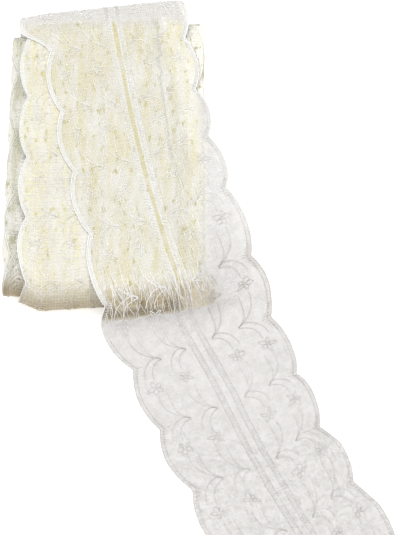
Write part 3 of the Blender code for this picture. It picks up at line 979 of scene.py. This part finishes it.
def wind(name, bundles, material, sides=3, thickness=1.0):
    """One piece of round threads from bundles of (points, edges, radii)."""
    counts = np.cumsum([0] + [len(points) for points, edges, radii in bundles])
    all_edges = np.concatenate([edges + count for (points, edges, radii), count in zip(bundles, counts)])
    all_points, all_radii = (np.concatenate([bundle[k] for bundle in bundles]) for k in (0, 2))
    wire = bpy.data.meshes.new(name + "_wire")
    wire.from_pydata(all_points.tolist(), all_edges.tolist(), [])
    attribute = wire.attributes.new("thread_radius", "FLOAT", "POINT")
    attribute.data.foreach_set("value", all_radii.astype(np.float32))
    source = put_in_scene(wire, name + "_wire")
    modifier = source.modifiers.new("wind", "NODES")
    modifier.node_group = THREAD_TREE
    items = THREAD_TREE.interface.items_tree
    sockets = {item.name: item.identifier for item in items if item.in_out == "INPUT"}
    modifier[sockets["Sides"]] = sides
    modifier[sockets["Thickness"]] = thickness
    modifier[sockets["Material"]] = material
    evaluated = source.evaluated_get(bpy.context.evaluated_depsgraph_get())
    mesh = bpy.data.meshes.new_from_object(evaluated)
    bpy.data.objects.remove(source)
    bpy.data.meshes.remove(wire)
    mesh.name = name
    mesh.shade_smooth()
    return put_in_scene(mesh, name)


# Distances from the middle of the columns of points in the ground, closest together along the ladders
GROUND_COLUMNS = (0.0, 0.0007, 0.0009, 0.0016, 0.0042, 0.0044) + tuple(np.arange(0.0070, 0.0320, 0.0030))


def ground_sheet(name, surface, start, end, phase, material, fields, closed=False, step=0.0020):
    """The ground of a stretch of lace as one thin sheet, cut to its scalloped edge.

    Fields are functions of (v, u, half width) by the name of the value that each gives the sheet's material.
    """
    stations = int(round((end - start) / step))
    v = start + np.arange(stations + (0 if closed else 1)) * (end - start) / stations
    half = half_width(v / REPEAT + phase)
    right = [np.full(len(v), u) for u in GROUND_COLUMNS]
    right += [half - BORDER_BAND - 0.0003, half - BORDER_BAND, half - 0.0004]
    rows = [-u for u in reversed(right[1:])] + right
    points = np.concatenate([surface(v, u) for u in rows])
    made = mesh_piece(name, points, quads(len(rows), len(v), closed), material)
    mesh = made.data
    strip_v = np.tile(v, len(rows))
    strip_u = np.concatenate(rows)
    edge = np.tile(half, len(rows))
    for field, worked_out in fields.items():
        amount = mesh.attributes.new(field, "FLOAT", "POINT")
        amount.data.foreach_set("value", worked_out(strip_v, strip_u, edge).astype(np.float32))
    corner = np.zeros(len(mesh.loops), dtype=np.int32)
    mesh.loops.foreach_get("vertex_index", corner)
    flat = np.stack([strip_v[corner], strip_u[corner]], axis=1)
    wrap = strip_v[corner].reshape(-1, 4)
    late = (wrap.max(axis=1) - wrap.min(axis=1) > (end - start) / 2)[:, None] & (wrap < (start + end) / 2)
    flat[:, 0] += np.where(late, end - start, 0).reshape(-1)
    layer = mesh.uv_layers.new(name="strip")
    layer.data.foreach_set("uv", flat.astype(np.float32).reshape(-1))
    return made


# The values that vary over the strip


def on_border(u, edge):
    """Where the scalloped border's band lies on the strip."""
    return np.abs(u) > edge - BORDER_BAND - 0.0001


def on_ladder(u):
    """Where the two ladders lie on the strip."""
    return (np.abs(u) > LADDER_COLUMNS[0] - 0.0001) & (np.abs(u) < LADDER_COLUMNS[1] + 0.0001)


def band_share(v, u, edge):
    """How closely worked, and so how pale, the strip is: most in its border, less in its ladders."""
    return np.where(on_border(u, edge), BORDER_PALE, np.where(on_ladder(u), LADDER_PALE, 0.0))


def lap_band_share(v, u, edge):
    """The same on the outer lap, whose ladders don't show."""
    return np.where(on_border(u, edge), BORDER_PALE, 0.0)


def past_by(v, u, start, over):
    """0 up to that distance past the front brink, and 1 from that much further on."""
    return smooth_step((past_brink(v, u) - start) / over)


def at_drop(v, u):
    """1 where the loose end hangs over the front fold, and 0 elsewhere."""
    above_foot = smooth_step((DROP_FOOT[0] - past_brink(v, u)) / DROP_FOOT[1])
    return past_by(v, u, *DROP_TOP) * above_foot * smooth_step((DROP_RIGHT[0] - u) / DROP_RIGHT[1])


def at_slits(v, u, edge=None):
    """1 in the low part of the drop, where its threads stand apart before the painted dark shade under the
    fold.
    """
    uneven = 0.0020 * np.sin(u * 420) + 0.0015 * np.sin(u * 1130 + 1.0)
    low = smooth_step((past_brink(v, u) - SLIT_TOP[0] - uneven) / SLIT_TOP[1])
    return low * at_drop(v, u) * smooth_step((SLIT_RIGHT[0] - u) / SLIT_RIGHT[1])


def clear_of_roll(v, u, edge):
    """1 where no pale laps lie below the loose end: at its far fold, over the right side, on the surface."""
    place = loose_surface(v, u)
    uneven = 0.0012 * np.sin(u * 700 + 4 * np.sin(u * 130))
    beyond_fold = smooth_step((place[:, 1] - CLEAR_FOLD[0] + uneven) / CLEAR_FOLD[1])
    beyond_side = smooth_step((place[:, 0] - CLEAR_SIDE[0]) / CLEAR_SIDE[1])
    return np.maximum(np.maximum(beyond_fold, beyond_side), past_by(v, u, *ON_FLOOR))


def loose_cover(v, u, edge):
    """The loose end's ground looks sheer on the pale roll, and close where it stands clear of it."""
    clear = clear_of_roll(v, u, edge)
    overhang = smooth_step((u - OVERHANG_CLOSE[0]) / OVERHANG_CLOSE[1])
    cover = ROLL_COVER + (OVERHANG_COVER - ROLL_COVER) * overhang
    cover += (DROP_COVER - cover) * at_drop(v, u) * (1 - clear)
    cover += (SLIT_COVER - cover) * at_slits(v, u)
    cover += (FOLD_COVER - cover) * clear
    cover += (TAIL_COVER - cover) * past_by(v, u, *ON_FLOOR)
    return np.where(on_border(u, edge) | on_ladder(u), np.maximum(cover, OVERHANG_COVER), cover)


def in_gap(v, u, edge):
    """1 between the two ladders, where the roll's depth shows, in a painted warm shade."""
    uneven = 0.65 + 0.35 * np.sin(v * 260) * np.sin(v * 95 + 1.0)
    return (np.abs(u) < GAP_HALF_WIDTH) * (1 - clear_of_roll(v, u, edge)) * uneven


def shade_behind_drop(v, u, edge):
    """1 where a painted brown shade stands for the shaded front fold behind the threads of the drop."""
    return at_drop(v, u) * past_by(v, u, *DROP_SHADE_TOP) * (np.abs(u) < edge - BORDER_BAND)


def lap_cover(v, u, edge):
    return np.where(on_border(u, edge), LAP_BORDER_COVER, LAP_COVER)


def pulled_aside(v, u, k):
    """How far the front fold draws each thread of the ground aside, so that neighbours part and meet."""
    past = past_brink(v, u)
    return 0.0015 * at_drop(v, u) * np.sin(past * 240 + k * 2.4) * np.sin(k * 0.9 + 1.0)


def wale_swell(v, u):
    """Threads look thicker where the front fold draws them apart and they stand clear against the dark."""
    return 0.5 + 0.9 * at_drop(v, u)


def row_swell(v, u):
    """The rows look thinner on the drop, and fine where they lie on the surface, as do the next two."""
    return 0.7 - 0.3 * at_drop(v, u) - 0.40 * past_by(v, u, *FINER)


def border_swell(v, u):
    return 1.0 - 0.22 * past_by(v, u, *FINER)


def rung_swell(v, u):
    return 0.9 - 0.5 * past_by(v, u, *FINER)


def rail_swell(v, u):
    """The ladders' rails look faint where they lie on the surface."""
    patchy = 0.10 * np.sin(v * 120 + 1.0)
    return 0.85 + 0.3 * at_drop(v, u) - (0.30 + patchy) * past_by(v, u, *SLOWLY_FINER)


def figure_swell(v, u):
    """The heavier threads look finer where they lie on the surface, unevenly so."""
    patchy = 0.10 * np.sin(v * 170 + u * 90) * np.sin(v * 61 + 2 * np.sin(u * 110))
    faded = 0.08 - patchy + 0.28 * past_by(v, u, 0.05, 0.02) - 0.06 * past_by(v, u, 0.10, 0.02)
    return 0.8 + 0.4 * at_drop(v, u) - faded * past_by(v, u, *SLOWLY_FINER)


def lap_swell(v, u):
    """Threads on the laps look finer towards the far fold."""
    return 0.58 + 0.32 * smooth_step((v - 0.075) / 0.040)


LOOSE_FIELDS = {
    "cover": loose_cover,
    "band": band_share,
    "clear": clear_of_roll,
    # The last three carry painted shade: the warm depth in the gap, and the brown and the dark behind the
    # drop
    "gap": in_gap,
    "drop": shade_behind_drop,
    "slit": at_slits,
}
LAP_FIELDS = {"cover": lap_cover, "band": lap_band_share}

# Fine white thread of the net, painted greyer as shade where it lies on the surface or hangs over the roll's
# side
IVORY = thread_material(
    "ivory thread", ("F4F2ED", "FBFAF7"), tail=("CBC9C6", "D2D0CE"), aside=("E2E0DD", "DCDAD7")
)
# The heavier thread that draws the flowers, ladders and scallops, painted greyer as shade on the loose end,
# so that it shows as faint grey lines there
OUTLINE = thread_material(
    "ivory outline thread", ("F4F2ED", "FBFAF7"), tail=("BCB9B4", "C6C3BF"), aside=("DAD8D3", "BAB4AB")
)
# Warm white thread of the wound laps, painted tan on the front fold as its shade
CREAM = thread_material("cream thread", ("ECE9DF", "F3F1EA"), front="C0B49B")
# Painted shade of the holes through the laps, as the colour of the small spots and of the long streaks: for
# the outer laps and the loose end, and for the depth
HOLE_SHADE = ("C2BA7E", "DBD4A2")
DEEP_HOLE_SHADE = ("A5A181", "D5D3C2")
# A sheer veil of net: cream where the laps show through it, and light grey, painted as shade, where it lies
# on its own; with painted shade along the lap edge below, in the ladders' gap and behind the drop
IVORY_GROUND = ground_material(
    "ivory net ground", ("E4E1D3", "EBE9E1"), HOLE_SHADE, LOOSE_FIELDS, tail=("C3C1BE", "CBC9C7"), fold="CCCAC5"
)
# The outer laps: cream, with yellow flecks and streaks of painted shade where the laps part, and painted
# brown shade where the front fold turns under
CREAM_GROUND = ground_material("cream net ground", ("D5D2C4", "DEDCD3"), HOLE_SHADE, LAP_FIELDS, front="9C9079")
# The depth of the roll: pale layers in soft shade, a warmer right side, and painted shade: grey-green where
# the laps at the left rim have parted, brown on the front fold, dark in its holes
DEEP = ground_material(
    "deep cream laps",
    ("ECEAE3", "F6F5F1"),
    DEEP_HOLE_SHADE,
    front="988C75",
    right="F6F3E4",
    rim=("D0CFC8", "AFAE98"),
)

# The loose end

loose_wales, loose_rows, loose_frays, loose_rungs = (Threads(LOOSE_PHASE) for _ in range(4))
loose_rails, loose_border, loose_sprays = (Threads(LOOSE_PHASE) for _ in range(3))
add_wales(loose_wales, 0.0, LOOSE_LENGTH, WALE_RADIUS, LOOSE_WALE_STEP, pulled_aside)
add_rows(loose_rows, 0.0, LOOSE_LENGTH, ROW_RADIUS)
add_frays(loose_frays)
add_ladder(loose_rails, loose_rungs, 0.0, LOOSE_LENGTH)
add_edging(loose_border, 0.0, LOOSE_LENGTH)
add_sprays(loose_sprays, 0.0, LOOSE_LENGTH)
loose = ground_sheet(
    "loose_end_ground", loose_surface, 0.0, LOOSE_LENGTH, LOOSE_PHASE, IVORY_GROUND, LOOSE_FIELDS
)
loose_net = wind(
    "loose_end_net",
    [
        loose_wales.laid(loose_surface, wale_swell),
        loose_rows.laid(loose_surface, row_swell),
        loose_frays.laid(loose_surface),
        loose_rungs.laid(loose_surface, rung_swell),
    ],
    IVORY,
)
loose_threads = wind(
    "loose_end_threads",
    [
        loose_rails.laid(loose_surface, rail_swell),
        loose_border.laid(loose_surface, border_swell),
        loose_sprays.laid(loose_surface, figure_swell),
    ],
    OUTLINE,
)

# The two outer laps of the roll


def lap_of_threads(name, depth, shift, skew, phase):
    """The threads of one whole lap of the roll."""
    lace = whole_lace(phase, 0.0, lap_length(depth))
    return wind(name, [lace.laid(lap_surface(depth, shift, skew), lap_swell)], CREAM)


outer_lap = lap_of_threads("outer_lap", **OUTER_LAP)
second_lap = lap_of_threads("second_lap", **SECOND_LAP)
outer_ground = ground_sheet(
    "outer_lap_ground",
    lap_surface(OUTER_GROUND_DEPTH, OUTER_LAP["shift"], OUTER_LAP["skew"]),
    0.0,
    lap_length(OUTER_GROUND_DEPTH),
    OUTER_LAP["phase"],
    CREAM_GROUND,
    LAP_FIELDS,
    closed=True,
)

# The deeper laps


def group_of(depth):
    """The row of the bundle that a lap so deep belongs to."""
    return next((group for group in LAP_GROUPS if depth <= group["depth"]), LAP_GROUPS[-1])


def edge_band(depth, shift, skew, phase, ribbon=DEEP_RIBBON):
    """The two scalloped edges of one deeper lap, as narrow ribbons, and the cords along them."""
    surface = lap_surface(depth, shift, skew, width=DEEP_WIDTH_SHARE)
    length = lap_length(depth)
    v = np.arange(DEEP_STATIONS) * length / DEEP_STATIONS
    half = half_width(v / length * round(length / REPEAT) + phase)
    ring = np.arange(DEEP_STATIONS)
    edges = np.stack([ring, (ring + 1) % DEEP_STATIONS], axis=1)
    points, faces, cords = [], [], []
    for side in (-1, 1):
        made = quads(3, DEEP_STATIONS, first=len(points) * DEEP_STATIONS)
        faces += made if side < 0 else [quad[::-1] for quad in made]
        points += [surface(v, side * (half - inset)) for inset in (0.0, RIBBON_FOLD, ribbon)]
        cord = surface(v, side * (half - RIBBON_CORD_INSET))
        cords.append((cord, edges, np.full(DEEP_STATIONS, RIBBON_CORD_RADIUS)))
    return np.concatenate(points), faces, cords


def deep_laps():
    """Ribbons and cords for the edges of the deeper laps, with threads on the two that show at the rims."""
    rng = np.random.default_rng(DEEP_SEED)
    bands, phase = [], DEEP_FIRST_PHASE
    for depth in np.arange(*DEEP_LAPS):
        group = group_of(depth)
        shift = group["shift"] + rng.uniform(-DEEP_SHIFT_UNEVEN, DEEP_SHIFT_UNEVEN)
        skew = group["skew"] + rng.uniform(-DEEP_SKEW_UNEVEN, DEEP_SKEW_UNEVEN)
        bands.append(edge_band(depth, shift, skew, phase))
        phase += lap_length(depth) / REPEAT
    cords = [cord for band in bands for cord in band[2]]
    for rim in RIM_LAPS:
        depth, shift, skew = rim["depth"], rim["shift"], rim["skew"]
        bands.append(edge_band(depth, shift, skew, rim["phase"], RIM_RIBBON))
        surface = lap_surface(depth + RIM_THREADS_ABOVE, shift, skew, width=DEEP_WIDTH_SHARE)
        lace = whole_lace(rim["phase"], 0.0, lap_length(depth))
        cords.append(lace.laid(surface, lap_swell, beyond=RIM_THREADS_BEYOND))
    counts = np.cumsum([0] + [len(points) for points, faces, own in bands])
    faces = [tuple(i + count for i in quad) for band, count in zip(bands, counts) for quad in band[1]]
    points = np.concatenate([band[0] for band in bands])
    return mesh_piece("deep_laps", points, faces, DEEP), wind("deep_lap_cords", cords, CREAM)


def inner_body():
    """The wound mass inside the outer laps, a little narrower than they are."""
    surface = lap_surface(INNER_DEPTH, 0.0, 0.0)
    v = np.arange(INNER_STATIONS) * lap_length(INNER_DEPTH) / INNER_STATIONS
    columns = np.linspace(-INNER_HALF_WIDTH, INNER_HALF_WIDTH, INNER_COLUMNS)
    points = np.concatenate([surface(v, np.full(len(v), u)) for u in columns])
    faces = quads(INNER_COLUMNS, INNER_STATIONS)
    faces.append(tuple(reversed(range(INNER_STATIONS))))
    faces.append(tuple(range(len(points) - INNER_STATIONS, len(points))))
    made = mesh_piece("inner_laps", points, faces, DEEP)
    made.data.set_sharp_from_angle(angle=math.radians(40))
    return made


deep, deep_cords = deep_laps()
inner = inner_body()

# Which body each piece rides on; the imported parts that these pieces draw anew are hidden

for piece in (loose, loose_net, loose_threads, outer_lap, outer_ground, second_lap, deep, deep_cords, inner):
    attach(piece, "root")
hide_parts("loose_end")
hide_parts("wound_roll")

# Surface, light and camera

FLOOR_HALF_SIZE = 3.0
FLOOR_GREY = 0.9
FLOOR_GLOW = 0.50
SKY_STRENGTH = 0.47
LIGHTS = [
    {"name": "key", "energy": 30, "size": 1.8, "place": (-0.30, 0.22, 1.6), "target": (0.03, -0.05, 0.0)},
    {"name": "fill", "energy": 12, "size": 1.2, "place": (0.30, -1.30, 0.90), "target": (0.03, -0.10, 0.0)},
]
CAMERA_AZIMUTH = math.radians(-1)
CAMERA_ELEVATION = math.radians(55)
CAMERA_DISTANCE = 1.3
CAMERA_TARGET = (0.0445, -0.0540, 0.0)
CAMERA_LENS = 184.2


def make_floor():
    """A white surface that glows a little, so that it looks as even as the white around the object."""
    made = bpy.data.materials.new("white floor")
    made.use_nodes = True
    looks = {
        "Base Color": (FLOOR_GREY, FLOOR_GREY, FLOOR_GREY, 1),
        "Roughness": 1.0,
        "Specular IOR Level": 0.0,
        "Emission Color": (1, 1, 1, 1),
        "Emission Strength": FLOOR_GLOW,
    }
    for socket, value in looks.items():
        made.node_tree.nodes["Principled BSDF"].inputs[socket].default_value = value
    corners = np.array([(-1, -1, 0), (1, -1, 0), (1, 1, 0), (-1, 1, 0)]) * FLOOR_HALF_SIZE
    mesh_piece("floor", corners, [(0, 1, 2, 3)], made)


def make_light():
    world = bpy.data.worlds.new("soft light")
    world.use_nodes = True
    sky = world.node_tree.nodes["Background"].inputs
    sky["Color"].default_value = (1, 1, 1, 1)
    sky["Strength"].default_value = SKY_STRENGTH
    bpy.context.scene.world = world
    for row in LIGHTS:
        data = bpy.data.lights.new(row["name"], "AREA")
        data.energy, data.size = row["energy"], row["size"]
        light = put_in_scene(data, row["name"])
        light.location = row["place"]
        aim = Vector(row["target"]) - light.location
        light.rotation_euler = aim.to_track_quat("-Z", "Y").to_euler()


def make_camera():
    level = math.cos(CAMERA_ELEVATION)
    back = Vector(
        (math.sin(CAMERA_AZIMUTH) * level, -math.cos(CAMERA_AZIMUTH) * level, math.sin(CAMERA_ELEVATION))
    )
    data = bpy.data.cameras.new("camera")
    data.sensor_width, data.lens = 36, CAMERA_LENS
    camera = put_in_scene(data, "camera")
    camera.location = Vector(CAMERA_TARGET) + back * CAMERA_DISTANCE
    camera.rotation_euler = (-back).to_track_quat("-Z", "Y").to_euler()
    bpy.context.scene.camera = camera


bpy.context.scene.view_settings.view_transform = "Standard"
make_floor()
make_light()
make_camera()
